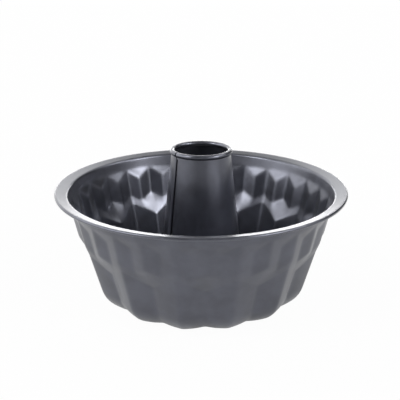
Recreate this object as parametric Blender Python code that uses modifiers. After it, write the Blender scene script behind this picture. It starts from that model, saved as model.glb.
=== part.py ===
"""Kugelhopf mould: a fluted bowl pressed from sheet steel, with a rolled conical chimney hemmed into its floor.

Lengths below are in millimetres and the scene is in metres. +Z is up, the mould rests on z = 0 and its axis is the
Z axis. Azimuths run clockwise from +Y, seen from above.
"""

import math

import bmesh
import bpy

MM = 0.001

# Sheet and clearances
SHEET = 0.6
GAP = 0.35

# Rim and flange
RIM_RADIUS = 125.0
RIM_HEIGHT = 100.0
BEAD_RADIUS = 1.4
BEAD_FREE_EDGE_DEG = -165.0
FLANGE_WIDTH = 9.6
FLANGE_DIP_DEG = 12.0
SHOULDER_RADIUS = 2.6
BAND_DEPTH = 11.5

# Flutes of the wall
LOBE_COUNT = 14
VALLEY_AZIMUTH_DEG = 23.4
EDGE_SOFTENING_DEG = 0.75
UPPER_TAPER = 0.225
UPPER_TIER_DEPTH = 24.8
RIB_DEPTH = 2.8
SHIELD_DEPTH = 9.5
LEDGE_RIB_DROP = 5.7
LEDGE_RIB_STEP = 4.2
LEDGE_LOBE_DROP = 7.7
LEDGE_LOBE_STEP = 3.0
LEDGE_VALLEY_DROP = 21.3
LOWER_TAPER = 0.28
LOBE_DEPTH = 5.8
BASE_CORNER_RADIUS = 28.0
BASE_VALLEY_DEPTH = 1.5

# Trough floor, hole and collar
PAD_SHARE = 0.34
TROUGH_RUN_SHARE = 0.62
TROUGH_RISE_SHARE = 0.76
FLOOR_UNDERSIDE = 4.1
FLOOR_LAND = 4.0
COLLAR_BEND = 0.5
COLLAR_END_HEIGHT = 1.9

# Chimney
CHIMNEY_HEIGHT = 133.3
CHIMNEY_TOP_RADIUS = 25.4
CHIMNEY_BASE_RADIUS = 39.0
CHIMNEY_FOOT_TOP = 5.0
CHIMNEY_COLUMNS = 48
TOP_BEAD_RADIUS = 2.2
TOP_BEAD_OVERHANG = 1.5
TOP_BEAD_END_DEG = 230.0
HEM_LEG_HEIGHT = 1.2
SEAM_AZIMUTH_DEG = 234.0
SEAM_BREAK_DEG = 2.4
JOGGLE_DEG = 2.6
LAP_DEG = 13.0
LAP_TOP_DROP = 10.3
LAP_FOOT_RISE = 4.0

# Rows of faces below the band that fold into triangles: the shields, and the upper part of the ledge
FOLDED_ROWS = (0, 2)

COATED_STEEL = (0.085, 0.085, 0.095, 1.0)


def clear_scene():
    for obj in list(bpy.data.objects):
        bpy.data.objects.remove(obj, do_unlink=True)


def make_collection(name):
    collection = bpy.data.collections.new(name)
    bpy.context.scene.collection.children.link(collection)
    return collection


def coated_steel(name):
    """Dark satin non-stick coat on steel."""
    material = bpy.data.materials.new(name)
    material.use_nodes = True
    shader = material.node_tree.nodes["Principled BSDF"]
    shader.inputs["Base Color"].default_value = COATED_STEEL
    shader.inputs["Metallic"].default_value = 0.6
    shader.inputs["Roughness"].default_value = 0.38
    return material


def arc(centre, radius, start_deg, end_deg, steps):
    """Points (radius, height) on an arc of the section."""
    points = []
    for i in range(steps + 1):
        angle = math.radians(start_deg + (end_deg - start_deg) * i / steps)
        points.append((centre[0] + radius * math.cos(angle), centre[1] + radius * math.sin(angle)))
    return points


def place(radius, height, azimuth_deg):
    angle = math.radians(azimuth_deg)
    return (radius * math.sin(angle) * MM, radius * math.cos(angle) * MM, height * MM)


def between(a, b, share):
    return (a[0] + (b[0] - a[0]) * share, a[1] + (b[1] - a[1]) * share)


def fillet(start, corner, end, radius, steps):
    """The arc of this radius that rounds the corner between two straight runs of the section."""
    ax, ay = start[0] - corner[0], start[1] - corner[1]
    bx, by = end[0] - corner[0], end[1] - corner[1]
    al, bl = math.hypot(ax, ay), math.hypot(bx, by)
    ax, ay, bx, by = ax / al, ay / al, bx / bl, by / bl
    half = math.acos(max(-1.0, min(1.0, ax * bx + ay * by))) / 2
    mx, my = ax + bx, ay + by
    ml = math.hypot(mx, my)
    reach = radius / math.sin(half)
    centre = (corner[0] + mx / ml * reach, corner[1] + my / ml * reach)
    run = radius / math.tan(half)
    first = math.atan2(corner[1] + ay * run - centre[1], corner[0] + ax * run - centre[0])
    last = math.atan2(corner[1] + by * run - centre[1], corner[0] + bx * run - centre[0])
    turn = (last - first + math.pi) % (2 * math.pi) - math.pi
    return arc(centre, radius, math.degrees(first), math.degrees(first + turn), steps)


def band_foot():
    """Outer face where the smooth band ends and the flutes begin, as (radius, height)."""
    return RIM_RADIUS - FLANGE_WIDTH - UPPER_TAPER * BAND_DEPTH, RIM_HEIGHT - BAND_DEPTH


def rim_section():
    """Under face of the sheet from the curl's free edge, round the bead, along the flange and down the band."""
    inner = BEAD_RADIUS - SHEET
    centre = (RIM_RADIUS - BEAD_RADIUS, RIM_HEIGHT - BEAD_RADIUS)
    curl = arc(centre, inner, BEAD_FREE_EDGE_DEG, 90.0 + FLANGE_DIP_DEG, 5)
    foot = band_foot()
    dip = math.radians(FLANGE_DIP_DEG)
    # Where the flange's line meets the line of the wall
    along = curl[-1][0] - foot[0] - UPPER_TAPER * (curl[-1][1] - foot[1])
    along /= math.cos(dip) - UPPER_TAPER * math.sin(dip)
    corner = (curl[-1][0] - along * math.cos(dip), curl[-1][1] - along * math.sin(dip))
    return curl + fillet(curl[-1], corner, foot, SHOULDER_RADIUS - SHEET, 2) + [foot]


def wall_stations():
    """Outer face of the wall below the band. Each station is (valley, rib, lobe), three points (radius, height)."""
    foot = band_foot()

    def upper(drop, depth):
        return foot[0] - UPPER_TAPER * drop - depth, foot[1] - drop

    shield = upper(SHIELD_DEPTH, 0.0)
    ledge = upper(UPPER_TIER_DEPTH, 0.0)
    rib_foot = (ledge[0] - LEDGE_RIB_STEP, ledge[1] - LEDGE_RIB_DROP)
    lobe_top = (ledge[0] - LEDGE_LOBE_STEP, ledge[1] - LEDGE_LOBE_DROP)
    valley_top = lower_wall(lobe_top, lobe_top[1] - ledge[1] + LEDGE_VALLEY_DROP, LOBE_DEPTH)
    stations = [
        (shield, upper(SHIELD_DEPTH, RIB_DEPTH), shield),
        (ledge, upper(UPPER_TIER_DEPTH, RIB_DEPTH), ledge),
        (between(ledge, valley_top, 0.34), rib_foot, between(ledge, lobe_top, 0.6)),
        (valley_top, between(valley_top, lobe_top, 0.5), lobe_top),
    ]
    # The corner from the wall to the base, tangent to both
    turn = math.pi / 2 - math.atan(LOWER_TAPER)
    wall_at_base = lobe_top[0] - LOWER_TAPER * lobe_top[1]
    pad = wall_at_base - BASE_CORNER_RADIUS * math.tan(turn / 2)
    for step in range(4):
        share = step / 3
        angle = turn * (1 - share)
        out = (math.sin(angle), -math.cos(angle))
        depth = LOBE_DEPTH + (BASE_VALLEY_DEPTH - LOBE_DEPTH) * share
        rib = depth * 0.5 if step < 3 else 0.0
        lobe = (pad + BASE_CORNER_RADIUS * out[0], BASE_CORNER_RADIUS * (1 + out[1]))
        stations.append(tuple((lobe[0] - d * out[0], lobe[1] - d * out[1]) for d in (depth, rib, 0.0)))
    pad_end = pad + (floor_edge() - pad) * PAD_SHARE
    stations.append(((pad_end, BASE_VALLEY_DEPTH), (pad_end, 0.0), (pad_end, 0.0)))
    return stations


def lower_wall(lobe_top, drop, depth):
    """Outer face this far below the top of the lobes and this deep behind them."""
    lean = math.hypot(1.0, LOWER_TAPER)
    lobe = (lobe_top[0] - LOWER_TAPER * drop, lobe_top[1] - drop)
    return lobe[0] - depth / lean, lobe[1] + depth * LOWER_TAPER / lean


def collar_outside():
    return CHIMNEY_BASE_RADIUS + GAP + SHEET


def floor_edge():
    return collar_outside() + COLLAR_BEND + FLOOR_LAND


def floor_section(pad_end):
    """Under face of the sheet from the trough to the free edge of the collar round the hole."""
    centre = (collar_outside() + COLLAR_BEND, FLOOR_UNDERSIDE - COLLAR_BEND)
    bend = arc(centre, COLLAR_BEND, 90.0, 180.0, 2)
    trough = (pad_end + (floor_edge() - pad_end) * TROUGH_RUN_SHARE, FLOOR_UNDERSIDE * TROUGH_RISE_SHARE)
    return [trough, (floor_edge(), FLOOR_UNDERSIDE)] + bend + [(collar_outside(), COLLAR_END_HEIGHT)]


def flute_columns():
    """Every column of the bowl, as (azimuth, kind of this edge, kind of the next one, share of the way to it)."""
    pitch = 360.0 / LOBE_COUNT
    quarter = pitch / 4
    share = EDGE_SOFTENING_DEG / quarter
    columns = []
    for lobe in range(LOBE_COUNT):
        for step, (kind, before, after) in enumerate([(0, 1, 1), (1, 0, 2), (2, 1, 1), (1, 2, 0)]):
            azimuth = VALLEY_AZIMUTH_DEG + lobe * pitch + step * quarter
            columns.append((azimuth - EDGE_SOFTENING_DEG, kind, before, share))
            columns.append((azimuth + EDGE_SOFTENING_DEG, kind, after, share))
    return columns


def add_sheet(name, collection, grid, folds, closed, material):
    """A loft over rows of points, with the sheet's thickness put behind it by Solidify. None leaves a point out."""
    mesh = bpy.data.meshes.new(name)
    build = bmesh.new()
    verts = [[build.verts.new(point) if point else None for point in row] for row in grid]
    count = len(grid[0])
    for row in range(len(grid) - 1):
        for column in range(count if closed else count - 1):
            after = (column + 1) % count
            a, b = verts[row][column], verts[row][after]
            c, d = verts[row + 1][after], verts[row + 1][column]
            if None in (a, b, c, d):
                continue
            fold = folds.get((row, column))
            if fold == "down":
                build.faces.new((a, b, c))
                build.faces.new((a, c, d))
            elif fold == "up":
                build.faces.new((a, b, d))
                build.faces.new((b, c, d))
            else:
                build.faces.new((a, b, c, d))
    build.normal_update()
    build.to_mesh(mesh)
    build.free()
    mesh.shade_smooth()
    mesh.set_sharp_from_angle(angle=math.radians(40.0))
    mesh.materials.append(material)
    obj = bpy.data.objects.new(name, mesh)
    collection.objects.link(obj)
    thickness = obj.modifiers.new("sheet thickness", "SOLIDIFY")
    thickness.thickness = SHEET * MM
    thickness.offset = -1.0
    thickness.use_even_offset = True
    thickness.use_rim = True
    return obj


def make_bowl(collection):
    rim = rim_section()
    wall = wall_stations()
    floor = floor_section(wall[-1][2][0])
    columns = flute_columns()
    grid = [[place(r, z, c[0]) for c in columns] for r, z in rim]
    for edges in wall:
        row = []
        for azimuth, kind, neighbour, share in columns:
            r, z = between(edges[kind], edges[neighbour], share)
            row.append(place(r, z, azimuth))
        grid.append(row)
    grid += [[place(r, z, c[0]) for c in columns] for r, z in floor]
    # The facets round the ends of the ribs are triangles, so these rows say which way each face folds
    folds = {}
    for column in range(len(columns)):
        kind, following = columns[column][1], columns[(column + 1) % len(columns)][1]
        if kind != following:
            for row in FOLDED_ROWS:
                folds[(len(rim) - 1 + row, column)] = "down" if following == 1 else "up"
    return add_sheet("fluted_bowl", collection, grid, folds, True, coated_steel("bowl_coat"))


def chimney_section():
    """Outer face of the chimney: its top bead from the free edge, its wall, and the hem round the collar."""
    ring = CHIMNEY_TOP_RADIUS + TOP_BEAD_OVERHANG - TOP_BEAD_RADIUS
    start = -math.degrees(math.acos((CHIMNEY_TOP_RADIUS - ring) / TOP_BEAD_RADIUS))
    bead = arc((ring, CHIMNEY_HEIGHT - TOP_BEAD_RADIUS), TOP_BEAD_RADIUS, TOP_BEAD_END_DEG, start, 7)
    foot = (CHIMNEY_BASE_RADIUS, CHIMNEY_FOOT_TOP)

    def wall(height):
        return between(foot, bead[-1], (height - foot[1]) / (bead[-1][1] - foot[1]))

    collar_middle = collar_outside() - SHEET / 2
    hem_radius = SHEET / 2 + GAP
    hem = arc((collar_middle, COLLAR_END_HEIGHT), hem_radius, 180.0, 360.0, 4)
    leg = (collar_middle + hem_radius, COLLAR_END_HEIGHT + HEM_LEG_HEIGHT)
    lap_ends = [wall(CHIMNEY_HEIGHT - LAP_TOP_DROP), wall(CHIMNEY_FOOT_TOP + LAP_FOOT_RISE)]
    return bead, lap_ends, [foot] + hem + [leg]


def make_chimney(collection):
    bead, lap_ends, foot = chimney_section()
    section = bead + lap_ends + foot
    lap_rows = (len(bead), len(bead) + 1)
    span = 360.0 - SEAM_BREAK_DEG
    turns = [span * i / CHIMNEY_COLUMNS for i in range(CHIMNEY_COLUMNS + 1)]
    turns.insert(-1, span - JOGGLE_DEG)
    lap = [360.0 + LAP_DEG * i / 3 for i in (0.5, 1.75, 3.0)]
    grid = []
    for row, (radius, height) in enumerate(section):
        lapped = row in lap_rows
        sunk = radius - SHEET - GAP
        points = [place(radius, height, SEAM_AZIMUTH_DEG + turn) for turn in turns[:-1]]
        points.append(place(sunk if lapped else radius, height, SEAM_AZIMUTH_DEG + turns[-1]))
        points += [place(sunk, height, SEAM_AZIMUTH_DEG + turn) if lapped else None for turn in lap]
        grid.append(points)
    return add_sheet("chimney_tube", collection, grid, {}, False, coated_steel("chimney_coat"))


def main():
    clear_scene()
    bpy.context.scene.unit_settings.system = "METRIC"
    collection = make_collection("kugelhopf_mould")
    make_bowl(collection)
    make_chimney(collection)


main()
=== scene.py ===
import math

import bpy
import numpy as np
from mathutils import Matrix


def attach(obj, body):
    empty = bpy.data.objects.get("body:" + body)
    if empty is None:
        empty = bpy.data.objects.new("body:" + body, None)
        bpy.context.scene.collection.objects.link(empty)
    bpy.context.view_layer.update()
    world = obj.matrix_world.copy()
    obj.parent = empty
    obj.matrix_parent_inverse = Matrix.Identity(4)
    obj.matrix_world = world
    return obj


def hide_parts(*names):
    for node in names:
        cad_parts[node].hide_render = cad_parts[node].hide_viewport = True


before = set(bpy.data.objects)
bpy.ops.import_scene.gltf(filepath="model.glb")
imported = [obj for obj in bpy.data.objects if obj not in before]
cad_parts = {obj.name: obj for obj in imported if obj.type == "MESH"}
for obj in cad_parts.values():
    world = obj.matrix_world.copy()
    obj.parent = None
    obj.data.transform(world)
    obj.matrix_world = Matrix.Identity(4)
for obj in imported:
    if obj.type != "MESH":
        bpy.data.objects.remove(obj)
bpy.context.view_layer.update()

MM = 0.001

# The mould's sizes in millimetres and degrees. They are the CAD's, apart from the free edge of the rim's bead, the
# ribs' fade round the base corner and the two ends of the lap
SHEET = 0.6
GAP = 0.35
RIM_RADIUS = 125.0
RIM_HEIGHT = 100.0
BEAD_RADIUS = 1.4
BEAD_FREE_EDGE_DEG = -170.0
FLANGE_WIDTH = 9.6
FLANGE_DIP_DEG = 12.0
SHOULDER_RADIUS = 2.6
BAND_DEPTH = 11.5
LOBE_COUNT = 14
VALLEY_AZIMUTH_DEG = 23.4
UPPER_TAPER = 0.225
UPPER_TIER_DEPTH = 24.8
RIB_DEPTH = 2.8
SHIELD_DEPTH = 9.5
LEDGE_RIB_DROP = 5.7
LEDGE_RIB_STEP = 4.2
LEDGE_LOBE_DROP = 7.7
LEDGE_LOBE_STEP = 3.0
LEDGE_VALLEY_DROP = 21.3
LEDGE_VALLEY_SHARE = 0.34
LEDGE_LOBE_SHARE = 0.6
LOWER_TAPER = 0.28
LOBE_DEPTH = 5.8
BASE_CORNER_RADIUS = 28.0
BASE_VALLEY_DEPTH = 1.5
RIB_SHARE = 0.5
RIB_FADE_POWER = 4
PAD_SHARE = 0.34
TROUGH_RUN_SHARE = 0.62
TROUGH_RISE_SHARE = 0.76
FLOOR_UNDERSIDE = 4.1
FLOOR_LAND = 4.0
COLLAR_BEND = 0.5
COLLAR_END_HEIGHT = 1.9
CHIMNEY_HEIGHT = 133.3
CHIMNEY_TOP_RADIUS = 25.4
CHIMNEY_BASE_RADIUS = 39.0
CHIMNEY_FOOT_TOP = 5.0
TOP_BEAD_RADIUS = 2.2
TOP_BEAD_OVERHANG = 1.5
TOP_BEAD_END_DEG = 230.0
HEM_LEG_HEIGHT = 1.2
SEAM_AZIMUTH_DEG = 234.0
SEAM_BREAK_DEG = 2.4
JOGGLE_DEG = 2.6
LAP_DEG = 13.0
# The lap reaches further up and down than the solid's, so that no light shows through the seam
LAP_TOP_DROP = 6.5
LAP_FOOT_RISE = 0.2

# How finely the visible sheets are cut
COLUMNS_PER_LOBE = 36
ROW_STEP = 1.25
RIM_BEAD_STEPS = 18
FLANGE_STEP = 1.6
SHOULDER_STEPS = 7
BASE_CORNER_STEPS = 9
COLLAR_BEND_STEPS = 6
TOP_BEAD_STEPS = 26
FADE_STEPS = 4
LAP_STEPS = 24
HEM_STEPS = 12
CHIMNEY_COLUMNS = 145
JOGGLE_STEPS = 5
LAP_COLUMNS = 9
SHARP_ANGLE_DEG = 50
# How far the press rounds the bowl's folds, in millimetres, and over how many rows that starts and ends
EDGE_BLUR = 1.4
BLUR_EASE_ROWS = 3.0

# The coat. Its grain and its clouds are noises, with scales per metre, and each range is the part of a noise that
# counts. The grain's height is in metres
COAT_COLOR = (0.095, 0.100, 0.126)
COAT_METALLIC = 0.9
COAT_IOR = 1.5
CLEAR_COAT_ROUGHNESS = 0.28
INSIDE_ROUGHNESS = 0.30
OUTSIDE_ROUGHNESS = 0.42
FACING_EDGE = 0.12
GRAIN_SCALE = 1500.0
GRAIN_DETAIL = 3.0
GRAIN_RANGE = (0.2, 0.8)
GRAIN_BUMP = 0.03
GRAIN_HEIGHT = 0.0002
CLOUD_SCALE = 65.0
CLOUD_DETAIL = 4.0
CLOUD_RANGE = (0.3, 0.7)
ROUGHNESS_SPREAD = 0.04
TONE_SPREAD = 0.14
TONE_GRAIN = 0.12

# Flat panels of the studio: azimuth range and elevation range in degrees, and brightness. Azimuth 0 is behind the
# mould, 90 is on its right and 180 is on the camera's side
PANELS = (
    (-25, 25, -2, 7, 6.6),
    (-25, 25, 15, 35, 2.0),
    (-70, -25, 0, 15, 1.5),
    (-70, -25, 15, 35, 1.4),
    (-70, -25, 35, 58, 2.6),
    (25, 70, 35, 58, 1.1),
    (-115, -70, 0, 15, 2.8),
    (70, 115, 0, 15, 0.4),
    (-155, -115, 0, 15, 1.3),
    (115, 155, 0, 15, 1.8),
)
# Round softboxes of the studio: azimuth, elevation and half width in degrees, and brightness
SOFTBOXES = (
    (80, 48, 9, 4.1),
    (92, 28, 9, 3.2),
    (120, 24, 9, 8.9),
    (120, 36, 9, 8.8),
    (140, 36, 9, 2.1),
    (180, 24, 9, 2.2),
    (240, 24, 9, 2.3),
    (240, 36, 9, 5.8),
    (240, 48, 9, 8.3),
    (260, 24, 9, 5.1),
    (280, 24, 9, 2.6),
    (280, 36, 9, 1.8),
)
# The softboxes fade out over this much of their half width, to either side of it
SOFTBOX_EDGE = 0.15
# Half widths of the soft edges of the panels and the ceiling, upward as a sine and sideways in radians
PANEL_EDGE_HEIGHT = 0.05
PANEL_EDGE_WIDTH = 0.09
# Sine of the elevation where the ceiling starts, and its brightness
CEILING_START = 0.848
CEILING = 0.53
# Strength of all these lights together
STUDIO_LEVEL = 0.87
# How much of the floor and of the room is plain white to the camera, in a reflection and through glass
FLOOR_WHITE = (0.97, 0.25, 0.25)
ROOM_WHITE = (1.0, 0.05, 1.0)
FLOOR_COLOR = (0.74, 0.74, 0.74, 1)
FLOOR_SIZE = 8.0

# The photo's camera, with its sensor and lens in millimetres and the rest in metres and degrees
CAMERA_SENSOR = 36.0
CAMERA_LENS = 65.39
CAMERA_CLIP_END = 50.0
CAMERA_PLACE = (-0.00098, -0.600, 0.2887)
CAMERA_TILT_DEG = 18.62


def arc(centre, radius, start_deg, end_deg, steps):
    points = []
    for i in range(steps + 1):
        angle = math.radians(start_deg + (end_deg - start_deg) * i / steps)
        points.append((centre[0] + radius * math.cos(angle), centre[1] + radius * math.sin(angle)))
    return points


def between(a, b, share):
    return (a[0] + (b[0] - a[0]) * share, a[1] + (b[1] - a[1]) * share)


def fillet(start, corner, end, radius, steps):
    ax, ay = start[0] - corner[0], start[1] - corner[1]
    bx, by = end[0] - corner[0], end[1] - corner[1]
    al, bl = math.hypot(ax, ay), math.hypot(bx, by)
    ax, ay, bx, by = ax / al, ay / al, bx / bl, by / bl
    half = math.acos(max(-1.0, min(1.0, ax * bx + ay * by))) / 2
    mx, my = ax + bx, ay + by
    ml = math.hypot(mx, my)
    reach = radius / math.sin(half)
    centre = (corner[0] + mx / ml * reach, corner[1] + my / ml * reach)
    run = radius / math.tan(half)
    first = math.atan2(corner[1] + ay * run - centre[1], corner[0] + ax * run - centre[0])
    last = math.atan2(corner[1] + by * run - centre[1], corner[0] + bx * run - centre[0])
    turn = (last - first + math.pi) % (2 * math.pi) - math.pi
    return arc(centre, radius, math.degrees(first), math.degrees(first + turn), steps)


def along(start, end, step):
    """Evenly spaced points from start to end, without the start."""
    count = max(1, round(math.hypot(end[0] - start[0], end[1] - start[1]) / step))
    return [between(start, end, (i + 1) / count) for i in range(count)]


def band_foot():
    return RIM_RADIUS - FLANGE_WIDTH - UPPER_TAPER * BAND_DEPTH, RIM_HEIGHT - BAND_DEPTH


def collar_outside():
    return CHIMNEY_BASE_RADIUS + GAP + SHEET


def floor_edge():
    return collar_outside() + COLLAR_BEND + FLOOR_LAND


def rim_section():
    """Under face from the curl's free edge round the bead to the end of the shoulder."""
    inner = BEAD_RADIUS - SHEET
    centre = (RIM_RADIUS - BEAD_RADIUS, RIM_HEIGHT - BEAD_RADIUS)
    curl = arc(centre, inner, BEAD_FREE_EDGE_DEG, 90.0 + FLANGE_DIP_DEG, RIM_BEAD_STEPS)
    foot = band_foot()
    dip = math.radians(FLANGE_DIP_DEG)
    run = curl[-1][0] - foot[0] - UPPER_TAPER * (curl[-1][1] - foot[1])
    run /= math.cos(dip) - UPPER_TAPER * math.sin(dip)
    corner = (curl[-1][0] - run * math.cos(dip), curl[-1][1] - run * math.sin(dip))
    shoulder = fillet(curl[-1], corner, foot, SHOULDER_RADIUS - SHEET, SHOULDER_STEPS)
    flange = along(curl[-1], shoulder[0], FLANGE_STEP)[:-1]
    return curl + flange + shoulder


def wall_stations():
    """Outer face of the wall below the band, as (valley, rib, lobe) points, with whether the row below it folds."""
    foot = band_foot()

    def upper(drop, depth):
        return foot[0] - UPPER_TAPER * drop - depth, foot[1] - drop

    shield = upper(SHIELD_DEPTH, 0.0)
    ledge = upper(UPPER_TIER_DEPTH, 0.0)
    rib_foot = (ledge[0] - LEDGE_RIB_STEP, ledge[1] - LEDGE_RIB_DROP)
    lobe_top = (ledge[0] - LEDGE_LOBE_STEP, ledge[1] - LEDGE_LOBE_DROP)
    drop = lobe_top[1] - ledge[1] + LEDGE_VALLEY_DROP
    lean = math.hypot(1.0, LOWER_TAPER)
    valley_top = (lobe_top[0] - LOWER_TAPER * drop - LOBE_DEPTH / lean,
                  lobe_top[1] - drop + LOBE_DEPTH * LOWER_TAPER / lean)
    stations = [
        ((foot, foot, foot), True),
        ((shield, upper(SHIELD_DEPTH, RIB_DEPTH), shield), False),
        ((ledge, upper(UPPER_TIER_DEPTH, RIB_DEPTH), ledge), True),
        ((between(ledge, valley_top, LEDGE_VALLEY_SHARE), rib_foot, between(ledge, lobe_top, LEDGE_LOBE_SHARE)), False),
        ((valley_top, between(valley_top, lobe_top, RIB_SHARE), lobe_top), False),
    ]
    turn = math.pi / 2 - math.atan(LOWER_TAPER)
    pad = lobe_top[0] - LOWER_TAPER * lobe_top[1] - BASE_CORNER_RADIUS * math.tan(turn / 2)
    for step in range(BASE_CORNER_STEPS + 1):
        share = step / BASE_CORNER_STEPS
        angle = turn * (1 - share)
        out = (math.sin(angle), -math.cos(angle))
        depth = LOBE_DEPTH + (BASE_VALLEY_DEPTH - LOBE_DEPTH) * share
        rib = depth * RIB_SHARE * (1.0 - share ** RIB_FADE_POWER)
        lobe = (pad + BASE_CORNER_RADIUS * out[0], BASE_CORNER_RADIUS * (1 + out[1]))
        stations.append((tuple((lobe[0] - d * out[0], lobe[1] - d * out[1]) for d in (depth, rib, 0.0)), False))
    pad_end = pad + (floor_edge() - pad) * PAD_SHARE
    stations.append((((pad_end, BASE_VALLEY_DEPTH), (pad_end, 0.0), (pad_end, 0.0)), False))
    trough = (pad_end + (floor_edge() - pad_end) * TROUGH_RUN_SHARE, FLOOR_UNDERSIDE * TROUGH_RISE_SHARE)
    edge = (floor_edge(), FLOOR_UNDERSIDE)
    stations += [((trough,) * 3, False), ((edge,) * 3, False)]
    return stations


def wall_grid(azimuths):
    """Radius and height of the pressed wall at every row and column, before the press rounds its edges."""
    stations = wall_stations()
    quarter = 360.0 / LOBE_COUNT / 4
    phase = ((azimuths - VALLEY_AZIMUTH_DEG) / quarter) % 4
    # Share of the way from the nearest groove to the nearest rib, and whether that groove is a valley or a lobe
    to_rib = 1 - np.abs(phase % 2 - 1)
    over_lobe = (phase >= 1) & (phase < 3)
    rows = []
    for (top, fold), (bottom, _) in zip(stations, stations[1:]):
        longest = max(math.hypot(a[0] - b[0], a[1] - b[1]) for a, b in zip(top, bottom))
        count = max(1, round(longest / ROW_STEP))
        groove_top = np.where(over_lobe[:, None], top[2], top[0])
        groove_bottom = np.where(over_lobe[:, None], bottom[2], bottom[0])
        rib_top, rib_bottom = np.array(top[1]), np.array(bottom[1])
        u = to_rib[:, None]
        for i in range(count):
            v = i / count
            if fold:
                upper = groove_top * (1 - u) + rib_top * (u - v) + rib_bottom * v
                lower = groove_top * (1 - v) + rib_bottom * u + groove_bottom * (v - u)
                rows.append(np.where(u >= v, upper, lower))
            else:
                rows.append((groove_top * (1 - u) + rib_top * u) * (1 - v)
                            + (groove_bottom * (1 - u) + rib_bottom * u) * v)
    rows.append(np.tile(np.array(stations[-1][0][0]), (len(azimuths), 1)))
    return np.array(rows)


def smooth_rows(grid, sigma):
    """A Gaussian blur down the rows, with the two ends carried on straight."""
    reach = int(math.ceil(3 * sigma))
    kernel = np.exp(-0.5 * (np.arange(-reach, reach + 1) / sigma) ** 2)
    kernel /= kernel.sum()
    head = grid[:1] + (grid[:1] - grid[1:2]) * np.arange(reach, 0, -1)[:, None, None]
    tail = grid[-1:] + (grid[-1:] - grid[-2:-1]) * np.arange(1, reach + 1)[:, None, None]
    padded = np.concatenate([head, grid, tail])
    return sum(k * padded[i:i + len(grid)] for i, k in enumerate(kernel))


def smooth_columns(grid, sigma):
    """A Gaussian blur round the columns, given each row's own width of it in columns."""
    out = np.zeros_like(grid)
    reach = int(math.ceil(3 * sigma.max()))
    offsets = np.arange(-reach, reach + 1)
    weights = np.exp(-0.5 * (offsets[None, :] / sigma[:, None]) ** 2)
    weights /= weights.sum(axis=1, keepdims=True)
    for i, offset in enumerate(offsets):
        out += weights[:, i, None, None] * np.roll(grid, offset, axis=1)
    return out


def sheet_object(name, rows, closed, holes=None):
    """A sheet through rows of points in millimetres, thickened behind its face."""
    rows = np.asarray(rows, float) * MM
    height, width = rows.shape[:2]
    keep = np.ones((height, width), bool) if holes is None else ~holes
    index = -np.ones((height, width), int)
    index[keep] = np.arange(keep.sum())
    faces = []
    for i in range(height - 1):
        for j in range(width if closed else width - 1):
            k = (j + 1) % width
            quad = (index[i, j], index[i, k], index[i + 1, k], index[i + 1, j])
            if min(quad) >= 0:
                faces.append(quad)
    mesh = bpy.data.meshes.new(name)
    mesh.from_pydata(rows[keep].tolist(), [], faces)
    mesh.update()
    obj = bpy.data.objects.new(name, mesh)
    bpy.context.scene.collection.objects.link(obj)
    solid = obj.modifiers.new("sheet thickness", "SOLIDIFY")
    solid.thickness = SHEET * MM
    solid.offset = -1.0
    solid.use_even_offset = True
    for polygon in mesh.polygons:
        polygon.use_smooth = True
    mesh.set_sharp_from_angle(angle=math.radians(SHARP_ANGLE_DEG))
    return obj


def turned(section, azimuths):
    angles = np.radians(azimuths)
    radius = section[..., 0]
    return np.stack([radius * np.sin(angles), radius * np.cos(angles), section[..., 1]], axis=-1)


def make_bowl():
    columns = COLUMNS_PER_LOBE * LOBE_COUNT
    azimuths = VALLEY_AZIMUTH_DEG + np.arange(columns) * 360.0 / columns
    rim = rim_section()
    band = along(rim[-1], band_foot(), ROW_STEP)[:-1]
    band_rows = [np.tile(np.array(p), (columns, 1)) for p in [rim[-1]] + band]
    grid = np.concatenate([np.array(band_rows), wall_grid(azimuths)])
    spacing = grid[..., 0].mean(axis=1) * 2 * math.pi / columns
    rounded = smooth_columns(smooth_rows(grid, EDGE_BLUR / ROW_STEP), EDGE_BLUR / spacing)
    row = np.arange(len(grid))
    ease = np.clip(np.minimum(row, row[::-1]) / BLUR_EASE_ROWS, 0, 1)[:, None, None]
    grid = grid * (1 - ease) + rounded * ease
    bend_centre = (collar_outside() + COLLAR_BEND, FLOOR_UNDERSIDE - COLLAR_BEND)
    bend = arc(bend_centre, COLLAR_BEND, 90.0, 180.0, COLLAR_BEND_STEPS)
    floor = along((floor_edge(), FLOOR_UNDERSIDE), bend[0], ROW_STEP)[:-1] + bend
    floor.append((collar_outside(), COLLAR_END_HEIGHT))
    top = np.array([np.tile(np.array(p), (columns, 1)) for p in rim[:-1]])
    end = np.array([np.tile(np.array(p), (columns, 1)) for p in floor])
    return sheet_object("fluted_bowl_sheet", turned(np.concatenate([top, grid, end]), azimuths), True)


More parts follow.
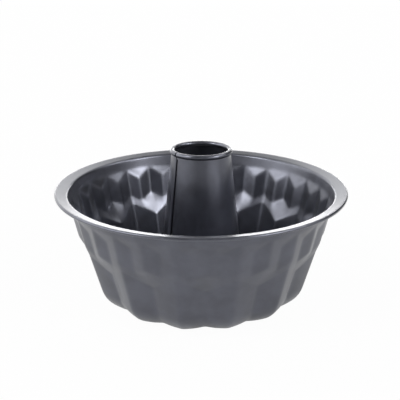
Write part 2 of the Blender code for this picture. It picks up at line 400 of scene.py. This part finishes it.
def make_chimney():
    ring = CHIMNEY_TOP_RADIUS + TOP_BEAD_OVERHANG - TOP_BEAD_RADIUS
    start = -math.degrees(math.acos((CHIMNEY_TOP_RADIUS - ring) / TOP_BEAD_RADIUS))
    bead_centre = (ring, CHIMNEY_HEIGHT - TOP_BEAD_RADIUS)
    bead = arc(bead_centre, TOP_BEAD_RADIUS, TOP_BEAD_END_DEG, start, TOP_BEAD_STEPS)
    foot = (CHIMNEY_BASE_RADIUS, CHIMNEY_FOOT_TOP)
    top = bead[-1]

    def wall(height):
        return between(foot, top, (height - foot[1]) / (top[1] - foot[1]))

    lap_top, lap_foot = CHIMNEY_HEIGHT - LAP_TOP_DROP, CHIMNEY_FOOT_TOP + LAP_FOOT_RISE
    lap = [wall(lap_top + (lap_foot - lap_top) * i / LAP_STEPS) for i in range(LAP_STEPS + 1)]
    fade = [wall(top[1] + (lap_top - top[1]) * i / FADE_STEPS) for i in range(1, FADE_STEPS)]
    collar_middle = collar_outside() - SHEET / 2
    hem_radius = SHEET / 2 + GAP
    hem = arc((collar_middle, COLLAR_END_HEIGHT), hem_radius, 180.0, 360.0, HEM_STEPS)
    leg = (collar_middle + hem_radius, COLLAR_END_HEIGHT + HEM_LEG_HEIGHT)
    section = bead + fade + lap + [foot] + hem + [leg]
    lap_row = len(bead) + len(fade)
    foot_row = lap_row + len(lap)
    lapped = np.zeros(len(section), bool)
    lapped[lap_row:foot_row] = True
    span = 360.0 - SEAM_BREAK_DEG
    joggle_start = span - JOGGLE_DEG
    turns = list(np.linspace(0.0, joggle_start, CHIMNEY_COLUMNS))
    turns += [joggle_start + JOGGLE_DEG * i / JOGGLE_STEPS for i in range(1, JOGGLE_STEPS + 1)]
    lap_turns = list(np.linspace(360.0, 360.0 + LAP_DEG, LAP_COLUMNS))
    sink = SHEET + GAP
    points = np.zeros((len(section), len(turns) + len(lap_turns), 3))
    holes = np.zeros(points.shape[:2], bool)
    for i, (radius, height) in enumerate(section):
        for j, turn in enumerate(turns + lap_turns):
            into = min(max((turn - joggle_start) / JOGGLE_DEG, 0.0), 1.0)
            depth = sink * into * into * (3 - 2 * into) if lapped[i] else 0.0
            # The hem closes into a whole ring, so that no light shows through it
            angle = math.radians(SEAM_AZIMUTH_DEG + (turn * 360.0 / span if i >= foot_row else turn))
            points[i, j] = ((radius - depth) * math.sin(angle), (radius - depth) * math.cos(angle), height)
            holes[i, j] = j >= len(turns) and not lapped[i]
    return sheet_object("chimney_sheet", points, False, holes)


def new_material(name):
    material = bpy.data.materials.new(name)
    material.use_nodes = True
    return material, material.node_tree.nodes, material.node_tree.links


def ramp(nodes, links, source, start, end, first=0.0, last=1.0):
    """A smooth change from the first value to the last one between two levels of the source."""
    node = nodes.new("ShaderNodeMapRange")
    node.interpolation_type = "SMOOTHSTEP"
    node.inputs["From Min"].default_value, node.inputs["From Max"].default_value = start, end
    node.inputs["To Min"].default_value, node.inputs["To Max"].default_value = first, last
    links.new(source, node.inputs["Value"])
    return node.outputs["Result"]


def product(nodes, links, a, b):
    node = nodes.new("ShaderNodeMath")
    node.operation = "MULTIPLY"
    links.new(a, node.inputs[0])
    links.new(b, node.inputs[1])
    return node.outputs[0]


def plain_white(nodes, links, shares):
    """How much of a surface is plain white, with a share for each kind of ray."""
    path = nodes.new("ShaderNodeLightPath")
    total = None
    for kind, share in zip(("Is Camera Ray", "Is Glossy Ray", "Is Transmission Ray"), shares):
        node = nodes.new("ShaderNodeMath")
        node.operation = "MULTIPLY_ADD"
        node.use_clamp = True
        links.new(path.outputs[kind], node.inputs[0])
        node.inputs[1].default_value = share
        node.inputs[2].default_value = 0.0
        if total is not None:
            links.new(total, node.inputs[2])
        total = node.outputs[0]
    return total


def coated_steel(name):
    """Dark non-stick coat, satin on the faces that look up and more matt on those that look down, with a fine grain."""
    material, nodes, links = new_material(name)
    shader = nodes["Principled BSDF"]
    shader.inputs["Metallic"].default_value = COAT_METALLIC
    shader.inputs["IOR"].default_value = COAT_IOR
    shader.inputs["Coat Weight"].default_value = 1.0
    shader.inputs["Coat Roughness"].default_value = CLEAR_COAT_ROUGHNESS
    shader.inputs["Coat IOR"].default_value = COAT_IOR
    coords = nodes.new("ShaderNodeTexCoord")
    grain = nodes.new("ShaderNodeTexNoise")
    grain.inputs["Scale"].default_value = GRAIN_SCALE
    grain.inputs["Detail"].default_value = GRAIN_DETAIL
    cloud = nodes.new("ShaderNodeTexNoise")
    cloud.inputs["Scale"].default_value = CLOUD_SCALE
    cloud.inputs["Detail"].default_value = CLOUD_DETAIL
    links.new(coords.outputs["Object"], grain.inputs["Vector"])
    links.new(coords.outputs["Object"], cloud.inputs["Vector"])
    tone = nodes.new("ShaderNodeMixRGB")
    tone.inputs["Color1"].default_value = (*[c * (1.0 - TONE_SPREAD) for c in COAT_COLOR], 1)
    tone.inputs["Color2"].default_value = (*[c * (1.0 + TONE_SPREAD) for c in COAT_COLOR], 1)
    specks = ramp(nodes, links, grain.outputs["Fac"], *GRAIN_RANGE, -TONE_GRAIN, TONE_GRAIN)
    mottled = nodes.new("ShaderNodeMath")
    mottled.operation = "ADD"
    mottled.use_clamp = True
    links.new(ramp(nodes, links, cloud.outputs["Fac"], *CLOUD_RANGE), mottled.inputs[0])
    links.new(specks, mottled.inputs[1])
    links.new(mottled.outputs[0], tone.inputs["Fac"])
    links.new(tone.outputs["Color"], shader.inputs["Base Color"])
    surface = nodes.new("ShaderNodeNewGeometry")
    facing = nodes.new("ShaderNodeSeparateXYZ")
    links.new(surface.outputs["Normal"], facing.inputs[0])
    cloudy = ramp(nodes, links, cloud.outputs["Fac"], *CLOUD_RANGE, 1.0 - ROUGHNESS_SPREAD, 1.0 + ROUGHNESS_SPREAD)
    matt = ramp(nodes, links, facing.outputs["Z"], -FACING_EDGE, FACING_EDGE, OUTSIDE_ROUGHNESS, INSIDE_ROUGHNESS)
    links.new(product(nodes, links, matt, cloudy), shader.inputs["Roughness"])
    bump = nodes.new("ShaderNodeBump")
    bump.inputs["Strength"].default_value = GRAIN_BUMP
    bump.inputs["Distance"].default_value = GRAIN_HEIGHT
    links.new(grain.outputs["Fac"], bump.inputs["Height"])
    links.new(bump.outputs["Normal"], shader.inputs["Normal"])
    return material


def studio_floor():
    """White floor that keeps a faint shadow under the mould."""
    material, nodes, links = new_material("studio_floor")
    nodes.remove(nodes["Principled BSDF"])
    diffuse = nodes.new("ShaderNodeBsdfDiffuse")
    diffuse.inputs["Color"].default_value = FLOOR_COLOR
    glow = nodes.new("ShaderNodeEmission")
    glow.inputs["Strength"].default_value = 1.0
    mix = nodes.new("ShaderNodeMixShader")
    links.new(plain_white(nodes, links, FLOOR_WHITE), mix.inputs["Fac"])
    links.new(diffuse.outputs[0], mix.inputs[1])
    links.new(glow.outputs[0], mix.inputs[2])
    links.new(mix.outputs[0], nodes["Material Output"].inputs["Surface"])
    bpy.ops.mesh.primitive_plane_add(size=FLOOR_SIZE, location=(0, 0, 0))
    floor = bpy.context.object
    floor.name = "floor"
    floor.data.materials.append(material)


def studio_world():
    """A dark room with lit panels and softboxes round the mould, plain white to the camera and through glass."""
    world = bpy.data.worlds.new("studio")
    bpy.context.scene.world = world
    world.use_nodes = True
    nodes, links = world.node_tree.nodes, world.node_tree.links
    coords = nodes.new("ShaderNodeTexCoord")
    split = nodes.new("ShaderNodeSeparateXYZ")
    links.new(coords.outputs["Generated"], split.inputs[0])
    height = split.outputs["Z"]
    azimuth = nodes.new("ShaderNodeMath")
    azimuth.operation = "ARCTAN2"
    links.new(split.outputs["X"], azimuth.inputs[0])
    links.new(split.outputs["Y"], azimuth.inputs[1])
    ceiling_edge = (CEILING_START - PANEL_EDGE_HEIGHT, CEILING_START + PANEL_EDGE_HEIGHT)
    total = ramp(nodes, links, height, *ceiling_edge, last=CEILING)

    def between_levels(source, low, high, edge):
        return product(nodes, links, ramp(nodes, links, source, low - edge, low + edge),
                       ramp(nodes, links, source, high - edge, high + edge, 1.0, 0.0))

    def lit(shape, brightness):
        node = nodes.new("ShaderNodeMath")
        node.operation = "MULTIPLY_ADD"
        links.new(shape, node.inputs[0])
        node.inputs[1].default_value = brightness
        links.new(total, node.inputs[2])
        return node.outputs[0]

    for left, right, low, high, brightness in PANELS:
        across = between_levels(azimuth.outputs[0], math.radians(left), math.radians(right), PANEL_EDGE_WIDTH)
        up = between_levels(height, math.sin(math.radians(low)), math.sin(math.radians(high)), PANEL_EDGE_HEIGHT)
        total = lit(product(nodes, links, across, up), brightness)
    for azimuth_deg, elevation_deg, half_deg, brightness in SOFTBOXES:
        a, e = math.radians(azimuth_deg), math.radians(elevation_deg)
        toward = nodes.new("ShaderNodeVectorMath")
        toward.operation = "DOT_PRODUCT"
        links.new(coords.outputs["Generated"], toward.inputs[0])
        toward.inputs[1].default_value = (math.cos(e) * math.sin(a), math.cos(e) * math.cos(a), math.sin(e))
        disc = ramp(nodes, links, toward.outputs["Value"], math.cos(math.radians(half_deg * (1 + SOFTBOX_EDGE))),
                    math.cos(math.radians(half_deg * (1 - SOFTBOX_EDGE))))
        total = lit(disc, brightness)
    room = nodes["Background"]
    links.new(total, room.inputs["Color"])
    room.inputs["Strength"].default_value = STUDIO_LEVEL
    white = nodes.new("ShaderNodeBackground")
    white.inputs["Color"].default_value = (1, 1, 1, 1)
    mix = nodes.new("ShaderNodeMixShader")
    links.new(plain_white(nodes, links, ROOM_WHITE), mix.inputs["Fac"])
    links.new(room.outputs[0], mix.inputs[1])
    links.new(white.outputs[0], mix.inputs[2])
    links.new(mix.outputs[0], nodes["World Output"].inputs["Surface"])


def studio_camera():
    camera = bpy.data.cameras.new("camera")
    camera.sensor_width = CAMERA_SENSOR
    camera.sensor_fit = "HORIZONTAL"
    camera.lens = CAMERA_LENS
    camera.clip_end = CAMERA_CLIP_END
    holder = bpy.data.objects.new("camera", camera)
    holder.location = CAMERA_PLACE
    holder.rotation_euler = (math.radians(90.0 - CAMERA_TILT_DEG), 0.0, 0.0)
    bpy.context.scene.collection.objects.link(holder)
    bpy.context.scene.camera = holder


bpy.context.scene.view_settings.view_transform = "Standard"
bowl = make_bowl()
bowl.data.materials.append(coated_steel("bowl_coat"))
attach(bowl, "root")
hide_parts("fluted_bowl")
chimney = make_chimney()
chimney.data.materials.append(coated_steel("chimney_coat"))
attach(chimney, "root")
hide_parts("chimney_tube")

studio_floor()
studio_world()
studio_camera()
